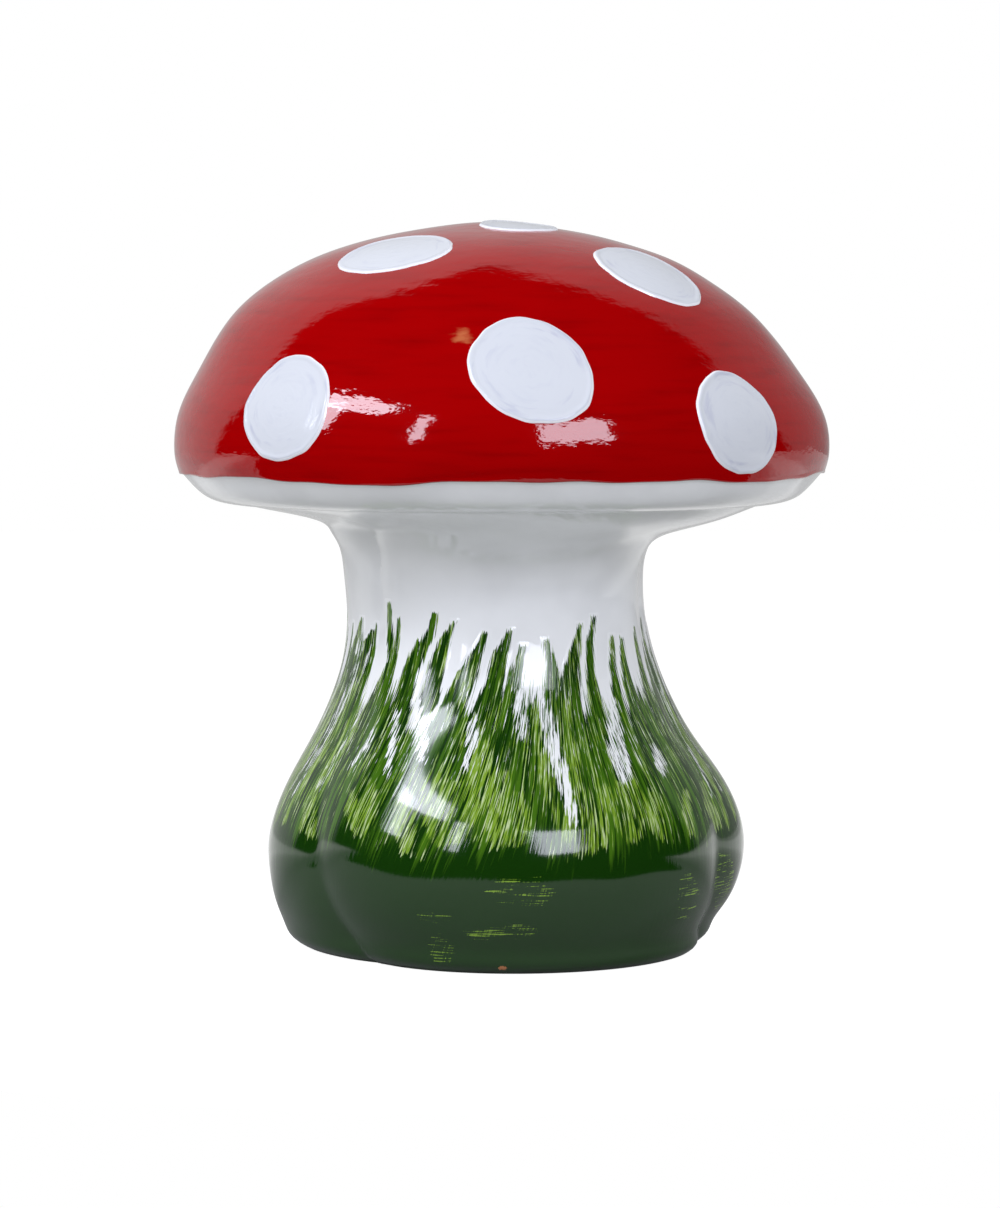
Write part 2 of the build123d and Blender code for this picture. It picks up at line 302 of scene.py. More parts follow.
# Kinds of stroke there: (seed, high end, low end, widest half, half widths)
far_kinds = {
    "blade": (3, GRASS_TIP_HEIGHT, GRASS_MASS_HEIGHT - 8, 3.2, blade_halves),
    "lime": (5, GRASS_MASS_HEIGHT + 6, 40, 3.0, dab_halves),
    "dry": (8, GRASS_MASS_HEIGHT + 25, 55, 0.8, dab_halves),
}
# How far these strokes differ: in place, at the tip and the root, and as shares in width and lean
place_chance = (-2.5, 2.5)
tip_chance = (-9, 5)
root_chance = (-4, 4)
width_chance = (0.7, 1.2)
lean_chance = (0.7, 1.3)

# Each pass is noted by how many millimetres deep a place lies in its strokes. Outside them all:
FAR_OUTSIDE = -30.0
# What a millimetre below the edge of the closed mass counts beside the depth in a single blade
MASS_WEIGHT = 0.12
# Millimetres above the wet coat's edge count up to WET_REACH, and those below it WET_SLOPE times
WET_REACH = 12
WET_SLOPE = 4
# Depths of lime, dry and smeared strokes count no further than this
LIME_MOST = 0.4
DRY_MOST = 1.0
smear_range = (-4, 1)
# Lime and bare glaze turn up outside their strokes too: (from height, to height, least, how much
# more at the upper height)
lime_everywhere = (45, 65, -1.6, 0.8)
dry_everywhere = (45, 70, -4.0, 2.4)
# How much lime loses on the wet coat, and how far above it that loss ends
LIME_OFF_WET = 5
lime_start = (1, 8)

# The film of enamel: its room above the tips, and its lowest row, just clear of the floor
TIP_ROOM = 12
FILM_FOOT = 0.02
# Its edge: how far outside a blade it meets the glaze, how steeply it rises from there, how deep
# it sinks into the glaze, how far outside the blades that hidden part ends, and how deep it is
FILM_EDGE = 1.4
FILM_SLOPE = 0.1
FILM_SINK = 0.3
FILM_REACH = 3
FILM_DEPTH = 0.4

# How far strokes drift round the stem as they rise: (azimuth, degrees a millimetre), and in how
# many steps a place is traced back to where its stroke starts
brush_lean_line = (
    (-180.0, 0.1),
    (-90.0, 0.1),
    (-55.0, 0.16),
    (-20.0, 0.28),
    (5.0, 0.18),
    (40.0, 0.0),
    (90.0, 0.0),
    (180.0, 0.1),
)
LEAN_STEPS = 4
# How far the bristles at a stroke's side spread, and the radius at which streaks have their width
BRISTLE_SPREAD = 0.35
BRUSH_RADIUS = 66.0

# Slow waves of a hand-poured casting: (wave length along x, y and z, share of the depth, phase)
ripple_waves = (
    (61.0, -83.0, 74.0, 0.34, 0.4),
    (-44.0, 97.0, 58.0, 0.28, 2.1),
    (92.0, 39.0, -66.0, 0.22, 4.4),
    (-33.0, -51.0, 41.0, 0.16, 5.2),
)

# The paint line's wander round the rim: (waves round the cap, height, phase)
paint_line_waves = ((5, 0.55, 0.6), (9, 0.4, 2.4), (17, 0.22, 4.0), (31, 0.12, 1.1))


def from_hex(code):
    """An sRGB colour code as linear red, green and blue."""
    values = [int(code[at : at + 2], 16) / 255 for at in (0, 2, 4)]
    return [v / 12.92 if v <= 0.04045 else ((v + 0.055) / 1.055) ** 2.4 for v in values]


def smooth(places, values):
    """A function through values at places whose curvature doesn't jump: a natural cubic."""
    places = np.asarray(places, float)
    values = np.asarray(values, float)
    steps = np.diff(places)
    slopes = np.diff(values) / steps
    count = len(places)
    system = np.eye(count)
    target = np.zeros(count)
    for i in range(1, count - 1):
        system[i, i - 1 : i + 2] = steps[i - 1], 2 * (steps[i - 1] + steps[i]), steps[i]
        target[i] = 6 * (slopes[i] - slopes[i - 1])
    bends = np.linalg.solve(system, target)

    def through(place):
        """The value at a place, which stays within the first and last places."""
        place = np.clip(place, places[0], places[-1])
        i = np.clip(np.searchsorted(places, place) - 1, 0, count - 2)
        left = (places[i + 1] - place) / steps[i]
        right = 1 - left
        bow = (left**3 - left) * bends[i] + (right**3 - right) * bends[i + 1]
        return left * values[i] + right * values[i + 1] + bow * steps[i] ** 2 / 6

    return through


def ease(low, high, value):
    """0 below low, 1 above high, and a smooth rise between them."""
    share = np.clip((value - low) / (high - low), 0, 1)
    return share * share * (3 - 2 * share)


def stray(waves, turn):
    """How far a line drawn by hand strays from its level, at angles round it."""
    total = 0
    for count, rise, phase in waves:
        total = total + rise * np.sin(count * turn + phase)
    return total


def ripple(points, depth):
    """How far each point sinks below the cast form, from 0 to the depth, in slow waves."""
    total = 0
    for along_x, along_y, along_z, share, phase in ripple_waves:
        turns = points[..., 0] / along_x + points[..., 1] / along_y + points[..., 2] / along_z
        total = total + share * np.sin(2 * pi * turns + phase)
    return -depth * (1 + total) / 2


def to_pixels(points):
    """Where the camera sees points: x and y in the picture, and their distance from it."""
    pitch = atan((PICTURE_PX[1] / 2 - HORIZON_PX) / FOCAL_PX)
    y, z = points[..., 1] + CAMERA_DISTANCE, points[..., 2] - CAMERA_HEIGHT
    depth = y * cos(pitch) - z * sin(pitch)
    rise = y * sin(pitch) + z * cos(pitch)
    across = PICTURE_PX[0] / 2 + FOCAL_PX * (points[..., 0] - CAMERA_SIDE) / depth
    down = PICTURE_PX[1] / 2 - FOCAL_PX * rise / depth
    return across, down, depth


def near_pixels(points, place_px):
    """1 at the middle of a small place that the picture shows, 0 at its edge and -1 far away."""
    x, y, half_width, half_height = place_px
    across, down, _ = to_pixels(points)
    gap = np.hypot((across - x) / half_width, (down - y) / half_height)
    return np.where(points[..., 1] < 0, np.maximum(1 - gap, -1), -1)


class Front:
    """The front of a surface, to find the place on it that the camera sees at a pixel."""

    azimuths = np.linspace(-115, 115, 921)

    def __init__(self, surface, shares):
        self.azimuth, self.share = np.meshgrid(self.azimuths, shares)
        self.x, self.y, self.depth = to_pixels(surface(self.azimuth, self.share))

    def at(self, x, y):
        """Azimuth and share of the place at a pixel that is nearest to the camera."""
        gap = np.hypot(self.x - x, self.y - y)
        nearest = np.argmin(np.where(gap < gap.min() + 1, self.depth, np.inf))
        return self.azimuth.flat[nearest], self.share.flat[nearest]


class DomeLine:
    """The crown line from the paint line at the rim to the crown, by share of its length."""

    def __init__(self):
        tuck_left, drop_left = rim_turn_share
        corners = [
            (RIM_RADIUS, RIM_HEIGHT),
            (CAP_RADIUS - RIM_TUCK * tuck_left, WIDEST_HEIGHT - RIM_DROP * drop_left),
        ]
        rise = CROWN_HEIGHT - WIDEST_HEIGHT
        corners += [(CAP_RADIUS * out, WIDEST_HEIGHT + rise * up) for out, up in dome_line_shares]
        corners += [(-radius, height) for radius, height in corners[-2:-5:-1]]
        corners = np.array(corners)
        places = np.concatenate([[0], np.cumsum(np.hypot(*np.diff(corners, axis=0).T))])
        crown = places[len(dome_line_shares) + 1]
        fine = np.linspace(0, crown, DOME_LINE_STEPS)
        self.radius = smooth(places, corners[:, 0])(fine)
        self.height = smooth(places, corners[:, 1])(fine)
        steps = np.hypot(np.diff(self.radius), np.diff(self.height))
        run = np.concatenate([[0], np.cumsum(steps)])
        self.length = run[-1]
        self.share = run / self.length
        out = np.gradient(self.height, run)
        up = -np.gradient(self.radius, run)
        size = np.hypot(out, up)
        self.out, self.up = out / size, up / size
        self.turn = np.arctan2(self.height - RIM_HEIGHT, self.radius)

    def at(self, climb):
        """Radius, height and outward direction at a share of the way up."""
        lines = (self.radius, self.height, self.out, self.up)
        return [np.interp(climb, self.share, line) for line in lines]

    def under(self, points):
        """Azimuth and climb of the dome's points that lie under points near it."""
        radius = np.hypot(points[..., 0], points[..., 1])
        turn = np.arctan2(points[..., 2] - RIM_HEIGHT, radius)
        azimuth = np.degrees(np.arctan2(points[..., 0], -points[..., 1]))
        return azimuth, np.interp(turn, self.turn, self.share)


dome_line = DomeLine()


def on_dome(azimuth, climb, lift=0.0):
    """Points of the cap: the turned form, sunk by its ripples, and leaning left at the crown."""
    sizes = bpy.context.scene.mushroom_sizes
    radius, height, out, up = dome_line.at(climb)
    turn = np.radians(azimuth)
    base = np.stack([radius * np.sin(turn), -radius * np.cos(turn), height + 0 * turn], axis=-1)
    rise = lift + ripple(base, sizes.ripple_depth / MM)
    radius = radius + out * rise
    height = height + up * rise
    lean = sizes.crown_lean / MM * ease(WIDEST_HEIGHT, CROWN_HEIGHT - RIM_DROP, height)
    return np.stack([radius * np.sin(turn) - lean, -radius * np.cos(turn), height], axis=-1)


class StemLine:
    """The stem's lobes, creases and lean as smooth functions of the height."""

    def __init__(self):
        heights, lobes, creases, leans = [], [], [], []
        swelling = BELLY_RADIUS - NECK_RADIUS
        for up, front, side, crease, lean in stem_line_shares:
            heights.append(STEM_HEIGHT * up)
            lobes.append((NECK_RADIUS + swelling * front, NECK_RADIUS + swelling * side))
            creases.append((NECK_RADIUS + swelling * front) * (1 - crease))
            leans.append(BELLY_RADIUS * lean)
        top_crease = stem_line_shares[-1][3]
        reach = COLLAR_RADIUS - GROOVE_DEPTH - NECK_RADIUS
        for up, front, side, crease, lean in flare_line_shares:
            heights.append(STEM_HEIGHT * up)
            lobes.append((NECK_RADIUS + reach * front, NECK_RADIUS + reach * side))
            creases.append(NECK_RADIUS * (1 - top_crease * (1 - crease)) + reach * crease)
            leans.append(BELLY_RADIUS * lean)
        self.front = smooth(heights, [pair[0] for pair in lobes])
        self.side = smooth(heights, [pair[1] for pair in lobes])
        self.crease = smooth(heights, creases)
        self.lean = smooth(heights, leans)
        wander = np.array(crease_line_shares)
        self.seams = [smooth(wander[:, 0] * STEM_HEIGHT, wander[:, i]) for i in (1, 2, 3)]

    def radius(self, azimuth, height):
        """The stem's radius about its own middle."""
        left, right, back = [seam(height) for seam in self.seams]
        softness = bpy.context.scene.mushroom_sizes.crease_softness
        total = 0
        for start, end, lobe in (
            (left, right, self.front),
            (right, back, self.side),
            (back, left + 360, self.side),
        ):
            across = ((azimuth - start) % 360) / (end - start)
            inside = across < 1
            wave = np.sin(pi * np.minimum(across, 1)) ** 2
            full = ((wave + softness**2) / (1 + softness**2)) ** (LOBE_FULLNESS / 2)
            crease = self.crease(height)
            total = total + inside * (crease + (lobe(height) - crease) * full)
        return total


stem_line = StemLine()


def on_stem(azimuth, height, lift=0.0):
    """Points of the stem's outer face below the groove, lifted level by a distance."""
    sizes = bpy.context.scene.mushroom_sizes
    turn = np.radians(azimuth)
    radius = stem_line.radius(azimuth, height)
    lean = stem_line.lean(height)
    base = np.stack([radius * np.sin(turn), -radius * np.cos(turn), height + 0 * turn], axis=-1)
    even = ease(0, RIM_DROP, height) * (1 - ease(STEM_HEIGHT - RIM_DROP, STEM_HEIGHT, height))
    radius = radius + lift + even * ripple(base, sizes.ripple_depth / MM)
    x = radius * np.sin(turn) + lean
    return np.stack([x, -radius * np.cos(turn), height + 0 * turn], axis=-1)


def turned_ring(azimuth, radius, height):
    """One ring of points about the axis."""
    turn = np.radians(azimuth)
    return np.stack([radius * np.sin(turn), -radius * np.cos(turn), height + 0 * turn], axis=-1)


def quads(lower, upper):
    """Faces between each row of point numbers in lower and its row in upper, all the way round."""
    sides = [lower, np.roll(lower, -1, axis=1), np.roll(upper, -1, axis=1), upper]
    return np.stack(sides, axis=-1).reshape(-1, 4)


def skin(name, rings, poles=None):
    """A closed mesh through rings of points, capped by a point at each end or run round."""
    count, around = rings.shape[:2]
    points = rings.reshape(-1, 3)
    index = np.arange(count * around).reshape(count, around)
    lower = index if poles is None else index[:-1]
    upper = np.roll(index, -1, axis=0) if poles is None else index[1:]
    faces = quads(lower, upper).tolist()
    if poles is not None:
        first, last = len(points), len(points) + 1
        points = np.vstack([points, poles])
        for i in range(around):
            after = (i + 1) % around
            faces.append((first, index[0, after], index[0, i]))
            faces.append((last, index[-1, i], index[-1, after]))
    mesh = bpy.data.meshes.new(name)
    mesh.from_pydata((points * MM).tolist(), [], faces)
    mesh.shade_smooth()
    return mesh


def note(mesh, name, values):
    """Stores a number for each point of a mesh for its finish to read, or a place for the brush."""
    kind, field = ("FLOAT_VECTOR", "vector") if name == "brush" else ("FLOAT", "value")
    mesh.attributes.new(name, kind, "POINT").data.foreach_set(field, np.ravel(values))


def place(mesh, nodes, slot, *finishes):
    """Puts a mesh in the scene in place of its CAD nodes, with its finishes."""
    piece = bpy.data.objects.new(mesh.name, mesh)
    bpy.context.scene.collection.objects.link(piece)
    for finish in finishes:
        mesh.materials.append(finish)
    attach(piece, "root")
    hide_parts(*nodes)
    return piece


def put(tree, kind, sockets=(), **settings):
    """Adds a node. Each socket is given a value, or the output that feeds it."""
    node = tree.nodes.new("ShaderNode" + kind)
    for name, value in settings.items():
        setattr(node, name, value)
    for name, value in dict(sockets).items():
        if isinstance(value, bpy.types.NodeSocket):
            tree.links.new(value, node.inputs[name])
        else:
            node.inputs[name].default_value = value
    return node


def blank(name):
    """A new material with an empty node tree."""
    material = bpy.data.materials.new(name)
    material.use_nodes = True
    material.node_tree.nodes.clear()
    return material, material.node_tree


# A Mix node's colour sockets by number: how much, the two colours, and the result
MIX_SHARE, MIX_FIRST, MIX_SECOND, MIX_RESULT = 0, 6, 7, 2


def fire(tree, colour, waves, relief, roughness, ior):
    """Ends a finish: its colour, the relief that its waves leave, and how glassy it is."""
    bump = put(tree, "Bump", {"Height": waves, "Distance": relief})
    sockets = {"Base Color": colour, "Roughness": roughness, "IOR": ior, "Normal": bump.outputs[0]}
    surface = put(tree, "BsdfPrincipled", sockets)
    put(tree, "OutputMaterial", {"Surface": surface.outputs["BSDF"]})


def red_enamel(colours):
    """Red lead enamel, brushed over the glaze of the cap and fired to a deep wet gloss.

    Its coats overlap in faint streaks that run round the cap, browner where they are thin, and
    the brush leaves low ridges that make the edges of reflections ragged.
    """
    material, tree = blank("red_overglaze_enamel")
    place_on = put(tree, "TexCoord").outputs["Object"]
    streak_width, streak_length = 2.5 * MM, 26 * MM
    ridge_width, ridge_length = 3 * MM, 7 * MM
    layers = []
    for width, length in ((streak_width, streak_length), (ridge_width, ridge_length)):
        sockets = {"Vector": place_on, "Scale": (1 / length, 1 / length, 1 / width)}
        stretched = put(tree, "Mapping", sockets).outputs["Vector"]
        noise = put(tree, "TexNoise", {"Vector": stretched, "Scale": 1.0, "Detail": 3.0})
        layers.append(noise.outputs["Fac"])
    sockets = {"Value": layers[0], "From Min": 0.4, "From Max": 1.0}
    share = put(tree, "MapRange", sockets, interpolation_type="SMOOTHSTEP").outputs["Result"]
    sockets = {MIX_SHARE: share, MIX_FIRST: (*colours.red, 1), MIX_SECOND: (*colours.red_deep, 1)}
    base = put(tree, "Mix", sockets, data_type="RGBA").outputs[MIX_RESULT]
    scuff = put(tree, "Attribute", attribute_name="scuff").outputs["Fac"]
    sockets = {0: layers[1], 1: 2.5, 2: scuff}
    rubbed = put(tree, "Math", sockets, operation="MULTIPLY_ADD").outputs[0]
    sockets = {"Value": rubbed, "From Min": 1.6, "From Max": 2.3}
    share = put(tree, "MapRange", sockets, interpolation_type="SMOOTHSTEP").outputs["Result"]
    sockets = {MIX_SHARE: share, MIX_FIRST: base, MIX_SECOND: (*colours.scuff, 1)}
    base = put(tree, "Mix", sockets, data_type="RGBA").outputs[MIX_RESULT]
    fire(tree, base, layers[1], relief=0.16 * MM, roughness=0.05, ior=1.6)
    return material


def white_glaze(colours):
    """Opaque white glaze over the cast clay, smooth and glassy, a little grey where it is thin."""
    material, tree = blank("white_tin_glaze")
    place_on = put(tree, "TexCoord").outputs["Object"]
    clouds = put(tree, "TexNoise", {"Vector": place_on, "Scale": 1 / (30 * MM), "Detail": 3.0})
    sockets = {"Value": clouds.outputs["Fac"], "From Min": 0.35, "From Max": 0.7}
    share = put(tree, "MapRange", sockets, interpolation_type="SMOOTHSTEP").outputs["Result"]
    thick, thin = (*colours.glaze, 1), (*colours.glaze_thin, 1)
    sockets = {MIX_SHARE: share, MIX_FIRST: thick, MIX_SECOND: thin}
    base = put(tree, "Mix", sockets, data_type="RGBA").outputs[MIX_RESULT]
    waves = put(tree, "TexNoise", {"Vector": place_on, "Scale": 1 / (11 * MM), "Detail": 2.0})
    fire(tree, base, waves.outputs["Fac"], relief=0.1 * MM, roughness=0.07, ior=1.52)
    return material


def spot_enamel(colours):
    """Off-white relief enamel, laid on thick, with a pale edge and faint lilac brush marks.

    The marks run round the spot inside its edge, as the brush did.
    """
    material, tree = blank("white_relief_enamel")
    inset = put(tree, "Attribute", attribute_name="inset").outputs["Fac"]
    place_on = put(tree, "Attribute", attribute_name="brush").outputs["Vector"]
    mark_width, mark_length = 2.2 * MM, 8 * MM
    sockets = {"Vector": place_on, "Scale": (1 / mark_length, 1 / mark_length, 1 / mark_width)}
    stretched = put(tree, "Mapping", sockets).outputs["Vector"]
    sockets = {"Vector": stretched, "Scale": 1.0, "Detail": 3.0, "Distortion": 0.3}
    marks = put(tree, "TexNoise", sockets).outputs["Fac"]
    sockets = {"Value": marks, "From Min": 0.5, "From Max": 0.74}
    share = put(tree, "MapRange", sockets, interpolation_type="SMOOTHSTEP").outputs["Result"]
    sockets = {"Value": inset, "From Min": 4 * MM, "From Max": 8 * MM, "To Min": 1.0, "To Max": 0.2}
    outer = put(tree, "MapRange", sockets).outputs["Result"]
    share = put(tree, "Math", {0: share, 1: outer}, operation="MULTIPLY").outputs[0]
    plain, marked = (*colours.spot, 1), (*colours.spot_marks, 1)
    sockets = {MIX_SHARE: share, MIX_FIRST: plain, MIX_SECOND: marked}
    base = put(tree, "Mix", sockets, data_type="RGBA").outputs[MIX_RESULT]
    sockets = {"Value": inset, "From Min": 0.5 * MM, "From Max": 1.1 * MM}
    inside = put(tree, "MapRange", sockets, interpolation_type="SMOOTHSTEP").outputs["Result"]
    sockets = {MIX_SHARE: inside, MIX_FIRST: (*colours.spot_edge, 1), MIX_SECOND: base}
    base = put(tree, "Mix", sockets, data_type="RGBA").outputs[MIX_RESULT]
    fire(tree, base, marks, relief=0.1 * MM, roughness=0.14, ior=1.52)
    return material


# Brush layers of the grass: (name, width of a streak, its length, detail, shift of the pattern)
grass_layers = (
    ("bristles", 0.8, 22, 3.0, 0.0),
    ("hairs", 0.4, 9, 2.0, 7.0),
    ("tone", 2.2, 30, 3.0, 13.0),
    ("drag", 0.6, 14, 3.0, 23.0),
    ("flecks", 0.4, 4, 2.0, 31.0),
    ("rings", 9, 0.5, 2.0, 41.0),
)

# Where each pass of the brush took: (name, what is added up and how much of it, sum at which it
# starts, how soon it is full)
grass_passes = (
    ("covered", (("blade", 1.0), ("bristles", 3.0), ("hairs", 3.4)), 3.1, 0.4),
    ("middling", (("wet", 0.12), ("tone", 5.0), ("bristles", 5.0)), 6.6, 1.6),
    ("limed", (("lime", 1.0), ("drag", 9.0), ("hairs", 8.0)), 8.9, 1.2),
    ("thin", (("hairs", 6.0), ("flecks", 6.0)), 6.8, 1.4),
    ("smeared", (("smear", 1.0), ("rings", 9.0), ("hairs", 3.0)), 8.0, 0.9),
    ("worn", (("dry", 1.0), ("drag", 8.0), ("flecks", 8.0)), 8.5, 1.0),
    ("chipped", (("chip", 1.0), ("flecks", 1.0)), 0.8, 0.3),
)


def green_enamel(colours):
    """Green overglaze enamel in three passes of a stiff brush over the white glaze.

    A wet dark coat lies at the foot, blades are pulled up from it, and a nearly dry brush drags
    lime over both. The bristles leave streaks half a millimetre to a millimetre wide. Where the
    brush ran dry the glaze shows, low smears run round the foot, and one chip shows the clay.
    """
    material, tree = blank("green_overglaze_enamel")
    brush = put(tree, "Attribute", attribute_name="brush").outputs["Vector"]
    signals = {}
    for name in ("blade", "lime", "dry", "wet", "smear", "chip"):
        signals[name] = put(tree, "Attribute", attribute_name=name).outputs["Fac"]
    for name, width, length, detail, shift in grass_layers:
        scale = (1 / (width * MM), 1 / (width * MM), 1 / (length * MM))
        sockets = {"Vector": brush, "Location": (shift, shift, shift), "Scale": scale}
        stretched = put(tree, "Mapping", sockets).outputs["Vector"]
        noise = put(tree, "TexNoise", {"Vector": stretched, "Scale": 1.0, "Detail": detail})
        signals[name] = noise.outputs["Fac"]
    for name, parts, start, ramp in grass_passes:
        total = 0.0
        for source, weight in parts:
            sockets = {0: signals[source], 1: weight, 2: total}
            total = put(tree, "Math", sockets, operation="MULTIPLY_ADD").outputs[0]
        sockets = {"Value": total, "From Min": start - ramp / 2, "From Max": start + ramp / 2}
        mapped = put(tree, "MapRange", sockets, interpolation_type="SMOOTHSTEP")
        signals[name] = mapped.outputs["Result"]
    results = {
        "glaze": (*colours.glaze, 1),
        "dark": (*colours.green_dark, 1),
        "mid": (*colours.green, 1),
        "lime": (*colours.lime, 1),
        "pale": (*colours.lime_pale, 1),
        "clay": (*colours.clay, 1),
    }
    for name, share, first, second in (
        ("coat", "middling", "dark", "mid"),
        ("dragged", "thin", "lime", "pale"),
        ("grass", "limed", "coat", "dragged"),
        ("smudged", "smeared", "grass", "lime"),
        ("painted", "worn", "smudged", "glaze"),
        ("coated", "covered", "glaze", "painted"),
        ("base", "chipped", "coated", "clay"),
    ):
        sockets = {MIX_SHARE: signals[share]}
        sockets.update({MIX_FIRST: results[first], MIX_SECOND: results[second]})
        results[name] = put(tree, "Mix", sockets, data_type="RGBA").outputs[MIX_RESULT]
    fire(tree, results["base"], signals["bristles"], relief=0.05 * MM, roughness=0.08, ior=1.6)
    return material


def bare_clay(colours):
    """Unglazed fired clay, where the foot was wiped clean and inside: matt, sandy, orange."""
    material, tree = blank("bare_fired_clay")
    place_on = put(tree, "TexCoord").outputs["Object"]
    sand = put(tree, "TexNoise", {"Vector": place_on, "Scale": 1 / (1.5 * MM), "Detail": 4.0})
    grain = sand.outputs["Fac"]
    sockets = {MIX_SHARE: grain, MIX_FIRST: (*colours.clay, 1), MIX_SECOND: (*colours.clay_pale, 1)}
    base = put(tree, "Mix", sockets, data_type="RGBA").outputs[MIX_RESULT]
    fire(tree, base, grain, relief=0.15 * MM, roughness=0.85, ior=1.5)
    return material


class MushroomSizes(bpy.types.PropertyGroup):
    """Sizes of the hand work that the cast form doesn't give."""

    ripple_depth: bpy.props.FloatProperty(
        name="Ripple depth",
        description="How deep the slow waves of the glazed casting are",
        default=0.5 * MM,
        unit="LENGTH",
    )
    crown_lean: bpy.props.FloatProperty(
        name="Crown lean",
        description="How far the top of the cap leans to the left",
        default=4.0 * MM,
        unit="LENGTH",
    )
    crease_softness: bpy.props.FloatProperty(
        name="Crease softness",
        description="How much glaze rounds the bottom of the stem's creases",
        default=0.07,
        subtype="FACTOR",
    )
    spot_height: bpy.props.FloatProperty(
        name="Spot height",
        description="How thick the enamel of a spot is inside its edge",
        default=0.5 * MM,
        unit="LENGTH",
    )
    spot_edge: bpy.props.FloatProperty(
        name="Spot edge",
        description="How much higher the raised edge of a spot is",
        default=0.3 * MM,
        unit="LENGTH",
    )
    grass_height: bpy.props.FloatProperty(
        name="Grass thickness",
        description="How thick the green enamel is",
        default=0.16 * MM,
        unit="LENGTH",
    )


class MushroomColours(bpy.types.PropertyGroup):
    """Colours of the glaze, the enamels and the clay."""

    red: bpy.props.FloatVectorProperty(
        name="Red", description="Cap enamel", default=from_hex("990002"), subtype="COLOR"
    )
    red_deep: bpy.props.FloatVectorProperty(
        name="Deep red", description="Cap enamel in streaks", default=from_hex("820002"),
        subtype="COLOR",
    )
    scuff: bpy.props.FloatVectorProperty(
        name="Scuff", description="Cap enamel where it is rubbed thin", default=from_hex("B4603C"),
        subtype="COLOR",
    )
    glaze: bpy.props.FloatVectorProperty(
        name="Glaze", description="White glaze", default=from_hex("E8EAEB"), subtype="COLOR"
    )
    glaze_thin: bpy.props.FloatVectorProperty(
        name="Thin glaze", description="White glaze where thin", default=from_hex("DFE1E2"),
        subtype="COLOR",
    )
    spot: bpy.props.FloatVectorProperty(
        name="Spot", description="Spot enamel", default=from_hex("CBCFD6"), subtype="COLOR"
    )
    spot_marks: bpy.props.FloatVectorProperty(
        name="Spot marks", description="Brush marks in a spot", default=from_hex("BABECC"),
        subtype="COLOR",
    )
    spot_edge: bpy.props.FloatVectorProperty(
        name="Spot edge", description="Edge of a spot", default=from_hex("EEEFF4"), subtype="COLOR"
    )
    green: bpy.props.FloatVectorProperty(
        name="Green", description="Grass blades", default=from_hex("3F6814"), subtype="COLOR"
    )
    green_dark: bpy.props.FloatVectorProperty(
        name="Dark green", description="Wet coat at the foot", default=from_hex("123407"),
        subtype="COLOR",
    )
    lime: bpy.props.FloatVectorProperty(
        name="Lime", description="Dry brushed grass", default=from_hex("7A9C30"), subtype="COLOR"
    )
    lime_pale: bpy.props.FloatVectorProperty(
        name="Pale lime", description="Dry brushed grass where thin", default=from_hex("BACA98"),
        subtype="COLOR",
    )
    clay: bpy.props.FloatVectorProperty(
        name="Clay", description="Bare clay", default=from_hex("B9774A"), subtype="COLOR"
    )
    clay_pale: bpy.props.FloatVectorProperty(
        name="Pale clay", description="Bare clay, sand grains", default=from_hex("D29A6C"),
        subtype="COLOR",
    )


class MUSHROOM_OT_stage(bpy.types.Operator):
    """Set up the camera, the pale floor and the soft studio light"""

    bl_idname = "mushroom.stage"
    bl_label = "Studio"

    def execute(self, context):
        make_camera()
        make_floor()
        make_lamps()
        make_surroundings()
        context.scene.view_settings.view_transform = "Standard"
        return {"FINISHED"}


class MUSHROOM_OT_cap(bpy.types.Operator):
    """Build the red dome, the white underside and the slip that joins them to the stem"""

    bl_idname = "mushroom.cap"
    bl_label = "Cap"

    def execute(self, context):
        colours = context.scene.mushroom_colours
        clay = bare_clay(colours)
        glaze = white_glaze(colours)
        place(dome_mesh(), ["cap_dome"], "red_enamel", red_enamel(colours), clay)
        place(underside_mesh(), ["cap_underside"], "white_glaze", glaze, clay)
        place(collar_slip_mesh(), ["collar_slip_bead"], "white_glaze", glaze)
        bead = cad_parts["rim_slip_bead"]
        for slot in bead.material_slots:
            slot.material = clay
        return {"FINISHED"}


class MUSHROOM_OT_spots(bpy.types.Operator):
    """Build the raised white spots on the cap"""

    bl_idname = "mushroom.spots"
    bl_label = "Spots"

    def execute(self, context):
        enamel = spot_enamel(context.scene.mushroom_colours)
        for number, row in enumerate(spot_shares):
            place(spot_mesh(number, *row), [row[0]], "spot_enamel", enamel)
        return {"FINISHED"}


class MUSHROOM_OT_stem(bpy.types.Operator):
    """Build the hollow lobed stem"""

    bl_idname = "mushroom.stem"
    bl_label = "Stem"

    def execute(self, context):
        colours = context.scene.mushroom_colours
        place(stem_mesh(), ["stem_body"], "white_glaze", white_glaze(colours), bare_clay(colours))
        return {"FINISHED"}


class MUSHROOM_OT_grass(bpy.types.Operator):
    """Brush the green enamel grass round the lower stem"""

    bl_idname = "mushroom.grass"
    bl_label = "Grass"

    def execute(self, context):
        enamel = green_enamel(context.scene.mushroom_colours)
        film = place(prune(grass_mesh()), ["grass_coat"], "green_enamel", enamel)
        solid = film.modifiers.new("film_thickness", "SOLIDIFY")
        solid.thickness = FILM_DEPTH * MM
        solid.offset = -1
        return {"FINISHED"}


class MUSHROOM_PT_panel(bpy.types.Panel):
    """The ornament's pieces, sizes and colours"""

    bl_idname = "MUSHROOM_PT_panel"
    bl_label = "Ceramic mushroom"
    bl_space_type = "VIEW_3D"
    bl_region_type = "UI"
    bl_category = "Mushroom"

    def draw(self, context):
        for operator in operators:
            self.layout.operator(operator.bl_idname)
        for group in (context.scene.mushroom_sizes, context.scene.mushroom_colours):
            for name in group.__annotations__:
                self.layout.prop(group, name)


# Points round the cap's rings, one a degree
cap_azimuths = np.linspace(-180, 180, 361)[:-1]
paint_wander = stray(paint_line_waves, np.radians(cap_azimuths))
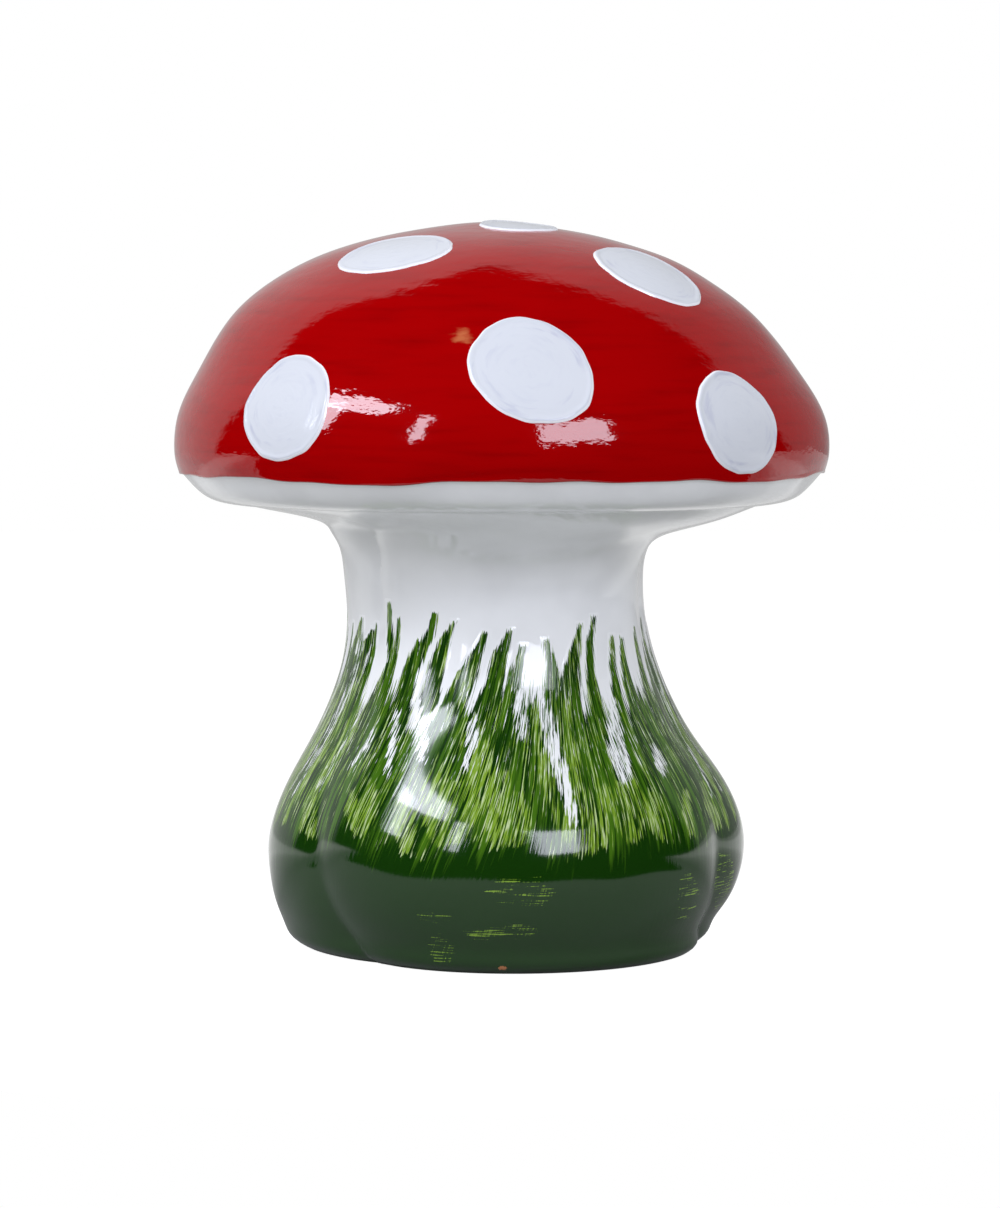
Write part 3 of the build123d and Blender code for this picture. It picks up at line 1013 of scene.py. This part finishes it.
# The dome's rings as shares of the crown line: down its inside, then up its outside
dome_inside = np.linspace(0.98, 0, 26)
dome_outside = np.linspace(0, 1, 190)[1:-1]
# The dome's lower edge between them: (how far in from the rim, how far up)
dome_edge = ((DOME_WALL, 0.0), (1.2, -0.05), (0.35, 0.0), (0.05, 0.35))
# Share of the crown line over which the paint line's wander dies away above the edge
WANDER_FADE = 0.05


def dome_mesh():
    """The red shell: down its inside from the crown, round its lower edge, and up its outside."""
    rings = []
    for climb in dome_inside:
        rings.append(on_dome(cap_azimuths, climb + 0 * cap_azimuths, -DOME_WALL))
    for inwards, up in dome_edge:
        level = RIM_HEIGHT + paint_wander + up
        rings.append(turned_ring(cap_azimuths, RIM_RADIUS - inwards, level))
    for climb in dome_outside:
        ring = on_dome(cap_azimuths, climb + 0 * cap_azimuths)
        ring[:, 2] += paint_wander * (1 - ease(0, WANDER_FADE, climb))
        rings.append(ring)
    rings = np.array(rings)
    poles = [on_dome(np.array(0.0), np.array(1.0), lift) for lift in (-DOME_WALL, 0.0)]
    mesh = skin("cap_dome_glazed", rings, poles)
    note(mesh, "scuff", np.append(near_pixels(rings, scuff_px), (-1, -1)))
    return mesh


# The underside's rings in sight, and the share of the way out at which the paint line's wander
# starts in them
underside_outs = np.linspace(0, 1, 28)
WANDER_START = 0.5
# How far its edge turns in and up behind the dome's
EDGE_IN = 0.3
EDGE_UP = 0.1
# Edges that turn by more than this stay crisp under the glaze
CRISP_TURN = radians(28)


def underside_mesh():
    """The white ring under the cap, with its ledge on the collar and its lip in the dome."""
    seat = COLLAR_RADIUS + SEAT_CLEARANCE
    start = (seat + GROOVE_DEPTH, STEM_HEIGHT)
    end = (RIM_RADIUS - RIM_STEP, RIM_HEIGHT)
    reach, drop = end[0] - start[0], end[1] - start[1]
    roll = smooth((0, roll_share[0], 1), (0, roll_share[1], 1))
    rings = []
    for out in underside_outs:
        height = start[1] + drop * roll(out) + paint_wander * ease(WANDER_START, 1, out)
        rings.append(turned_ring(cap_azimuths, start[0] + reach * out, height))
    rings.append(turned_ring(cap_azimuths, end[0] - EDGE_IN, RIM_HEIGHT + paint_wander + EDGE_UP))
    lip = RIM_RADIUS - DOME_WALL - SEAT_CLEARANCE
    ledge = COLLAR_TOP + LEDGE_THICKNESS
    inside = COLLAR_RADIUS - LEDGE_REACH
    for radius, height in (
        (lip, RIM_HEIGHT),
        (lip, LIP_TOP),
        (lip - LIP_THICKNESS, LIP_TOP),
        (lip - LIP_THICKNESS, ledge),
        (inside, ledge),
        (inside, COLLAR_TOP),
        (seat, COLLAR_TOP),
        (seat, STEM_HEIGHT + GROOVE_DEPTH),
    ):
        rings.append(turned_ring(cap_azimuths, radius, height + 0 * cap_azimuths))
    mesh = skin("cap_underside_glazed", np.array(rings))
    mesh.set_sharp_from_angle(angle=CRISP_TURN)
    return mesh


# The slip in its groove: its gap to the walls, how far in its sides start, how deep its back lies,
# half the width of the back, how far it stands proud all round, and how much more in front
SLIP_GAP = 0.05
SLIP_SET = 0.1
SLIP_DEPTH = 1.4
SLIP_BACK = 0.1
SLIP_PROUD = 0.03
SLIP_FRONT_PROUD = 0.25
# Azimuths between which its front starts and ends
slip_front_start = (-38, -32)
slip_front_end = (27, 33)
# How much its height differs, in two sets of waves: (waves round the cap, phase)
SLIP_WAVINESS = 0.35
slip_waves = ((11, 0.0), (29, 1.0))
slip_acrosses = np.linspace(0, 1, 9)


def collar_slip_mesh():
    """The wavy ridge of slip under the cap: it stands proud in front and is sponged flat behind."""
    inner = COLLAR_RADIUS - GROOVE_DEPTH + SLIP_GAP
    outer = COLLAR_RADIUS + SEAT_CLEARANCE + GROOVE_DEPTH - SLIP_GAP
    middle = (inner + outer) / 2
    front = ease(*slip_front_start, cap_azimuths) * (1 - ease(*slip_front_end, cap_azimuths))
    waves = SLIP_WAVINESS
    for count, phase in slip_waves:
        waves = waves * np.sin(count * np.radians(cap_azimuths) + phase)
    proud = (SLIP_PROUD + SLIP_FRONT_PROUD * front) * (1 + waves)
    rings = [turned_ring(cap_azimuths, inner, STEM_HEIGHT + SLIP_SET)]
    for across in slip_acrosses:
        radius = inner + (outer - inner) * across
        rings.append(turned_ring(cap_azimuths, radius, STEM_HEIGHT - proud * sin(pi * across)))
    rings.append(turned_ring(cap_azimuths, outer, STEM_HEIGHT + SLIP_SET))
    rings.append(turned_ring(cap_azimuths, middle + SLIP_BACK, STEM_HEIGHT + SLIP_DEPTH))
    rings.append(turned_ring(cap_azimuths, middle - SLIP_BACK, STEM_HEIGHT + SLIP_DEPTH))
    return skin("collar_slip_ridge", np.array(rings))


def spot_mesh(number, name, azimuth, climb, length, width, tilt):
    """One spot: a thick round of enamel on the dome, with the raised edge that the brush leaves."""
    sizes = bpy.context.scene.mushroom_sizes
    around = spot_turns
    waves = [(count, depth, phase + step * number) for count, depth, phase, step in spot_waves]
    outline = 1 + stray(waves, around)
    radius, height, out, up = dome_line.at(climb)
    turn, lean = radians(azimuth), radians(tilt)
    side = np.array([cos(turn), sin(turn), 0])
    outwards = np.array([sin(turn), -cos(turn), 0])
    normal = outwards * out + np.array([0, 0, up])
    upwards = np.cross(normal, side)
    centre = outwards * radius + np.array([0, 0, height])

    def ring(share, lift):
        """The outline at a share of its size, brought down on the dome step by step."""
        along = SPOT_DIAMETER * length / 2 * outline * np.cos(around) * share
        across = SPOT_DIAMETER * width / 2 * outline * np.sin(around) * share
        right = along * cos(lean) - across * sin(lean)
        rise = along * sin(lean) + across * cos(lean)
        points = centre + right[:, None] * side + rise[:, None] * upwards
        for _ in range(SPOT_STEPS):
            climbs = dome_line.under(points)[1]
            radii, heights = dome_line.at(climbs)[:2]
            gap = np.hypot(radii, heights - RIM_HEIGHT)
            gap = gap - np.hypot(np.hypot(points[:, 0], points[:, 1]), points[:, 2] - RIM_HEIGHT)
            points = points + gap[:, None] * normal
        return on_dome(*dome_line.under(points), lift)

    thick, ridge = sizes.spot_height / MM, sizes.spot_edge / MM
    levels = [(share, -SPOT_SINK) for share in spot_bed_shares]
    for share in spot_top_shares:
        rise = thick * float(ease(0, 1, (1.0 - share) / SPOT_BANK))
        rise += ridge * float(np.exp(-(((share - SPOT_RIDGE) / SPOT_RIDGE_WIDTH) ** 2)))
        levels.append((share, rise - SPOT_BED))
    rings = np.array([ring(share, lift) for share, lift in levels])
    poles = [ring(0.0, lift)[0] for lift in (-SPOT_SINK, thick - SPOT_BED)]
    mesh = skin(name + "_enamel", rings, poles)
    shares = np.append(np.repeat([share for share, _ in levels], len(around)), (0, 0))
    ways = np.append(np.tile(around, len(levels)), (0, 0))
    half = SPOT_DIAMETER / 2 * MM
    inset = half * (1 - shares)
    note(mesh, "inset", inset)
    loop = half * SPOT_MARK_LOOP
    brush = np.stack([loop * np.cos(ways), loop * np.sin(ways), inset], axis=-1)
    note(mesh, "brush", brush + half * number)
    return mesh


# The stem's and the grass film's points stand at the same azimuths and heights. They lie closer
# in front, at the foot and in the flare under the collar
FLARE_SHARE = 0.2
foot_heights = (0.0, 0.35, 0.9)
stem_azimuths = np.concatenate([np.linspace(-95, 95, 346), np.linspace(96, 264, 169)])
stem_heights = np.concatenate(
    [
        foot_heights,
        np.linspace(1.6, STEM_HEIGHT * (1 - FLARE_SHARE), 116),
        STEM_HEIGHT * (1 - FLARE_SHARE * np.linspace(1, 0, 64)[1:] ** 1.25),
    ]
)
FOOT_ROUNDING = 0.5
# The stem's inside: heights down the flare, down the tube, and at the foot's clay edge
FLARE_INSIDE = STEM_HEIGHT * 0.85
flare_inside_heights = np.linspace(COLLAR_TOP, FLARE_INSIDE, 9)
tube_inside_heights = np.linspace(120, 15, 16)
foot_inside_heights = (3.0, 0.3, 0.0)


def stem_mesh():
    """The stem: up its outside, round the groove and collar, and down inside to the foot."""
    flat = 0 * stem_azimuths
    rings = [on_stem(stem_azimuths, height + flat) for height in stem_heights]
    rings[0] = on_stem(stem_azimuths, flat, -FOOT_ROUNDING)
    outside = len(rings)
    for height in (STEM_HEIGHT + GROOVE_DEPTH, COLLAR_TOP):
        rings.append(turned_ring(stem_azimuths, COLLAR_RADIUS, height + flat))
    for height in (*flare_inside_heights, *tube_inside_heights):
        below = min(height, COLLAR_TOP - STEM_WALL * ease(FLARE_INSIDE, COLLAR_TOP, height))
        rings.append(on_stem(stem_azimuths, below + flat, -STEM_WALL))
        rings[-1][:, 2] = height
    for height in foot_inside_heights:
        rings.append(on_stem(stem_azimuths, height + flat, -STEM_WALL))
    mesh = skin("stem_glazed", np.array(rings))
    strips = np.repeat(np.arange(len(rings)), len(stem_azimuths))
    mesh.polygons.foreach_set("material_index", (strips >= outside + 1).astype(np.int32))
    mesh.set_sharp_from_angle(angle=CRISP_TURN)
    return mesh


def picture_stroke(front, corners):
    """A stroke's heights, azimuths and half widths, rising, from its corners in the picture."""
    rows = []
    for x, y, width in corners:
        azimuth, height = front.at(x, y)
        half = width / 2 * CAMERA_DISTANCE / FOCAL_PX / max(cos(radians(azimuth)), EDGE_ON)
        half = BRISTLE_SPREAD + half * (1 + BRISTLE_SPREAD * ease(*spread_rows_px, y))
        rows.append((height, azimuth, half))
    return np.array(sorted(rows)).T


def far_strokes(seed, tip, root, widest, halves):
    """Strokes on the sides and back, of the same make as those that the picture shows."""
    chance = np.random.default_rng(seed)
    strokes = []
    for start in np.arange(FAR_BLADE_START, FAR_BLADE_END, FAR_BLADE_PITCH):
        azimuth = start + chance.uniform(*place_chance)
        high = tip + chance.uniform(*tip_chance)
        low = root + chance.uniform(*root_chance)
        half = widest * chance.uniform(*width_chance)
        heights = low + (high - low) * np.array(far_rises)
        azimuths = azimuth + FAR_BLADE_LEAN * (heights - low) * chance.uniform(*lean_chance)
        strokes.append(np.array([heights, azimuths, half * np.array(halves)]))
    return strokes


def stroke_field(strokes, azimuth, height, radius):
    """How deep each place lies inside the strokes, in millimetres, and below 0 outside them."""
    best = np.full(azimuth.shape, FAR_OUTSIDE)
    for heights, azimuths, halves in strokes:
        middle = np.interp(height, heights, azimuths)
        half = np.interp(height, heights, halves)
        gap = (azimuth - middle + 180) % 360 - 180
        ends = np.minimum(heights[-1] - height, height - heights[0])
        best = np.maximum(best, np.minimum(half - np.abs(np.radians(gap)) * radius, ends))
    return best


def grass_notes(azimuth, height):
    """How much of each pass of the brush lies at places on the stem."""
    front = Front(on_stem, np.linspace(0, STEM_HEIGHT, 451))
    radius = stem_line.radius(azimuth, height)
    depth = {}
    for kind, pictures in strokes_px.items():
        strokes = [picture_stroke(front, corners) for corners in pictures]
        if kind in far_kinds:
            strokes += far_strokes(*far_kinds[kind])
        depth[kind] = stroke_field(strokes, azimuth, height, radius)
    turn = np.radians(azimuth)
    mass = GRASS_MASS_HEIGHT + stray(mass_edge_waves, turn) - height
    wet = height - GRASS_WET_HEIGHT - stray(wet_edge_waves, turn)
    wet = np.minimum(np.minimum(wet, WET_REACH), WET_SLOPE * wet)
    low, high, least, more = lime_everywhere
    lime = np.maximum(np.minimum(depth["lime"], LIME_MOST), more * ease(low, high, height) + least)
    low, high, least, more = dry_everywhere
    dry = np.maximum(np.minimum(depth["dry"], DRY_MOST), more * ease(low, high, height) + least)
    return {
        "blade": np.maximum(depth["blade"], MASS_WEIGHT * mass),
        "lime": lime - LIME_OFF_WET * (1 - ease(*lime_start, wet)),
        "dry": dry,
        "wet": wet,
        "smear": np.clip(depth["smear"], *smear_range),
    }


def grass_mesh():
    """The green enamel, a thin film whose edges sink into the glaze, with its brush work noted."""
    levels = stem_heights[stem_heights < GRASS_TIP_HEIGHT + TIP_ROOM]
    azimuth, height = np.meshgrid(stem_azimuths, levels)
    height[0] = FILM_FOOT
    notes = grass_notes(azimuth, height)
    film = bpy.context.scene.mushroom_sizes.grass_height / MM
    lift = np.clip((notes["blade"] + FILM_EDGE) * FILM_SLOPE, -FILM_SINK, film)
    lift[0] -= FOOT_ROUNDING
    points = on_stem(azimuth, height, lift)
    index = np.arange(azimuth.size).reshape(azimuth.shape)
    faces = quads(index[:-1], index[1:])
    kept = (notes["blade"].ravel()[faces] > -FILM_REACH).any(axis=1)
    mesh = bpy.data.meshes.new("grass_enamel")
    mesh.from_pydata((points.reshape(-1, 3) * MM).tolist(), [], faces[kept].tolist())
    mesh.shade_smooth()
    notes["chip"] = near_pixels(points, chip_px)
    for name, values in notes.items():
        note(mesh, name, values)

    # Each turn brings start nearer to the azimuth at which the stroke left the wet coat
    lean = smooth(*zip(*brush_lean_line))
    start = azimuth
    for _ in range(LEAN_STEPS):
        start = azimuth - lean((start + 180) % 360 - 180) * (height - GRASS_WET_HEIGHT)
    note(mesh, "brush", turned_ring(start, BRUSH_RADIUS, height) * MM)
    return mesh


def prune(mesh):
    """Takes away the points that no face uses."""
    work = bmesh.new()
    work.from_mesh(mesh)
    loose = [point for point in work.verts if not point.link_faces]
    bmesh.ops.delete(work, geom=loose, context="VERTS")
    work.to_mesh(mesh)
    work.free()
    return mesh


def make_camera():
    """A camera at the photograph's viewing angle."""
    data = bpy.data.cameras.new("picture_camera")
    data.sensor_fit = "VERTICAL"
    data.sensor_height = SENSOR_HEIGHT
    data.lens = FOCAL_PX / PICTURE_PX[1] * SENSOR_HEIGHT
    data.clip_end = CAMERA_REACH
    camera = bpy.data.objects.new("picture_camera", data)
    camera.location = (CAMERA_SIDE * MM, -CAMERA_DISTANCE * MM, CAMERA_HEIGHT * MM)
    pitch = atan((PICTURE_PX[1] / 2 - HORIZON_PX) / FOCAL_PX)
    camera.rotation_euler = (pi / 2 - pitch, 0, 0)
    bpy.context.scene.collection.objects.link(camera)
    bpy.context.scene.camera = camera


def make_floor():
    """A wide white sheet that the object stands on, with a round front end."""
    side, back, reach = 3.0, 3.0, 0.3
    turns = np.linspace(-pi / 2, pi / 2, 25)
    front = [(reach * sin(turn), -reach * cos(turn), 0) for turn in turns]
    corners = [(-side, 0, 0), *front, (side, 0, 0), (side, back, 0), (-side, back, 0)]
    mesh = bpy.data.meshes.new("studio_floor")
    mesh.from_pydata(corners, [], [tuple(range(len(corners)))])
    floor = bpy.data.objects.new("studio_floor", mesh)
    bpy.context.scene.collection.objects.link(floor)
    material, tree = blank("pale_studio_floor")
    rays = put(tree, "LightPath").outputs
    way = put(tree, "SeparateXYZ", {"Vector": put(tree, "TexCoord").outputs["Object"]}).outputs
    sockets = {"Value": way["Y"], "From Min": 0.05, "From Max": 0.2, "To Max": 0.85}
    behind = put(tree, "MapRange", sockets).outputs["Result"]
    sockets = {"Value": way["Y"], "From Min": 0.45, "From Max": 0.65, "To Min": 1.0, "To Max": 0.55}
    near = put(tree, "MapRange", sockets).outputs["Result"]
    gloss = put(tree, "Math", {0: behind, 1: near}, operation="MULTIPLY").outputs[0]
    soft = put(tree, "Math", {0: behind, 1: 0.5}, operation="MULTIPLY").outputs[0]
    upwards = put(tree, "Mix", {0: rays["Is Glossy Ray"], 2: soft, 3: gloss}).outputs[0]
    glow = put(tree, "Mix", {0: rays["Is Camera Ray"], 2: upwards, 3: 0.92})
    sockets = {"Value": way["Y"], "From Min": 0.0, "From Max": 0.15, "To Min": 0.4, "To Max": 0.12}
    grey = put(tree, "MapRange", sockets).outputs["Result"]
    matt = put(tree, "BsdfDiffuse", {"Color": grey})
    light = put(tree, "Emission", {"Color": (1, 1, 1, 1), "Strength": glow.outputs[0]})
    both = put(tree, "AddShader", {0: matt.outputs["BSDF"], 1: light.outputs["Emission"]})
    put(tree, "OutputMaterial", {"Surface": both.outputs["Shader"]})
    mesh.materials.append(material)


# Lamps: (name, azimuth, elevation, distance in metres, width, height, brightness against white)
lamp_places = (
    ("window_left_top", -57.0, 40.0, 1.6, 0.66, 0.24, 12.0),
    ("window_left_side", -66.0, 28.0, 1.6, 0.26, 0.66, 9.0),
    ("window_left_slit", -30.0, 23.0, 1.6, 0.14, 0.7, 9.0),
    ("window_right", 25.0, 22.0, 1.6, 0.68, 0.6, 8.0),
)
# Daylight through a window: a little blue
DAYLIGHT = (0.86, 0.88, 1.0)


def make_lamps():
    """Soft lamps with straight sides, aimed at the middle of the object."""
    middle = np.array([0, 0, 0.13])
    for name, azimuth, elevation, distance, width, height, brightness in lamp_places:
        data = bpy.data.lights.new(name, "AREA")
        data.shape = "RECTANGLE"
        data.size = width
        data.size_y = height
        data.color = DAYLIGHT
        data.energy = brightness * pi * width * height
        lamp = bpy.data.objects.new(name, data)
        turn, rise = radians(azimuth), radians(elevation)
        way = np.array([sin(turn) * cos(rise), -cos(turn) * cos(rise), sin(rise)])
        lamp.location = middle + way * distance
        lamp.rotation_euler = (pi / 2 - rise, 0, turn)
        bpy.context.scene.collection.objects.link(lamp)


def make_surroundings():
    """White all round for the camera. Gloss shows a dark studio with white walls at the back."""
    world = bpy.data.worlds.new("white_studio")
    world.use_nodes = True
    tree = world.node_tree
    tree.nodes.clear()
    way = put(tree, "SeparateXYZ", {"Vector": put(tree, "TexCoord").outputs["Generated"]}).outputs
    aside = put(tree, "Math", {0: way["X"]}, operation="ABSOLUTE").outputs[0]
    total = way["Y"]
    for source, weight in ((aside, 0.42), (way["Z"], 0.38)):
        sockets = {0: source, 1: weight, 2: total}
        total = put(tree, "Math", sockets, operation="MULTIPLY_ADD").outputs[0]
    sockets = {"Value": total, "From Min": 0.8, "From Max": 0.87}
    wall = put(tree, "MapRange", sockets, interpolation_type="SMOOTHSTEP").outputs["Result"]
    sockets = {"Value": way["X"], "From Min": -0.2, "From Max": 0.6, "To Min": 0.55, "To Max": 0.27}
    bright = put(tree, "MapRange", sockets, interpolation_type="SMOOTHSTEP").outputs["Result"]
    gloss = put(tree, "Math", {0: wall, 1: bright}, operation="MULTIPLY")
    sockets = {"Value": total, "From Min": -0.4, "From Max": 0.8, "To Min": 0.44, "To Max": 1.0}
    around = put(tree, "MapRange", sockets).outputs["Result"]
    sockets = {"Value": way["X"], "From Min": -1.0, "From Max": 1.0, "To Min": 1.25, "To Max": 0.95}
    daylight = put(tree, "MapRange", sockets).outputs["Result"]
    around = put(tree, "Math", {0: around, 1: daylight}, operation="MULTIPLY").outputs[0]
    rays = put(tree, "LightPath").outputs
    soft = put(tree, "Mix", {0: rays["Is Glossy Ray"], 2: around, 3: gloss.outputs[0]})
    seen = put(tree, "Mix", {0: rays["Is Camera Ray"], 2: soft.outputs[0], 3: 1.0})
    light = put(tree, "Background", {"Color": (1, 1, 1, 1), "Strength": seen.outputs[0]})
    put(tree, "OutputWorld", {"Surface": light.outputs["Background"]})
    bpy.context.scene.world = world


operators = (
    MUSHROOM_OT_stage,
    MUSHROOM_OT_cap,
    MUSHROOM_OT_spots,
    MUSHROOM_OT_stem,
    MUSHROOM_OT_grass,
)
classes = (MushroomSizes, MushroomColours, *operators, MUSHROOM_PT_panel)


def register():
    """Adds the classes, and the sizes and colours to the scene."""
    for kind in classes:
        bpy.utils.register_class(kind)
    bpy.types.Scene.mushroom_sizes = bpy.props.PointerProperty(type=MushroomSizes)
    bpy.types.Scene.mushroom_colours = bpy.props.PointerProperty(type=MushroomColours)


def unregister():
    """Takes them out again, last first."""
    del bpy.types.Scene.mushroom_colours
    del bpy.types.Scene.mushroom_sizes
    for kind in reversed(classes):
        bpy.utils.unregister_class(kind)


def main():
    """Builds the studio and the ornament."""
    register()
    bpy.ops.mushroom.stage()
    bpy.ops.mushroom.cap()
    bpy.ops.mushroom.spots()
    bpy.ops.mushroom.stem()
    bpy.ops.mushroom.grass()


if __name__ == "__main__":
    main()
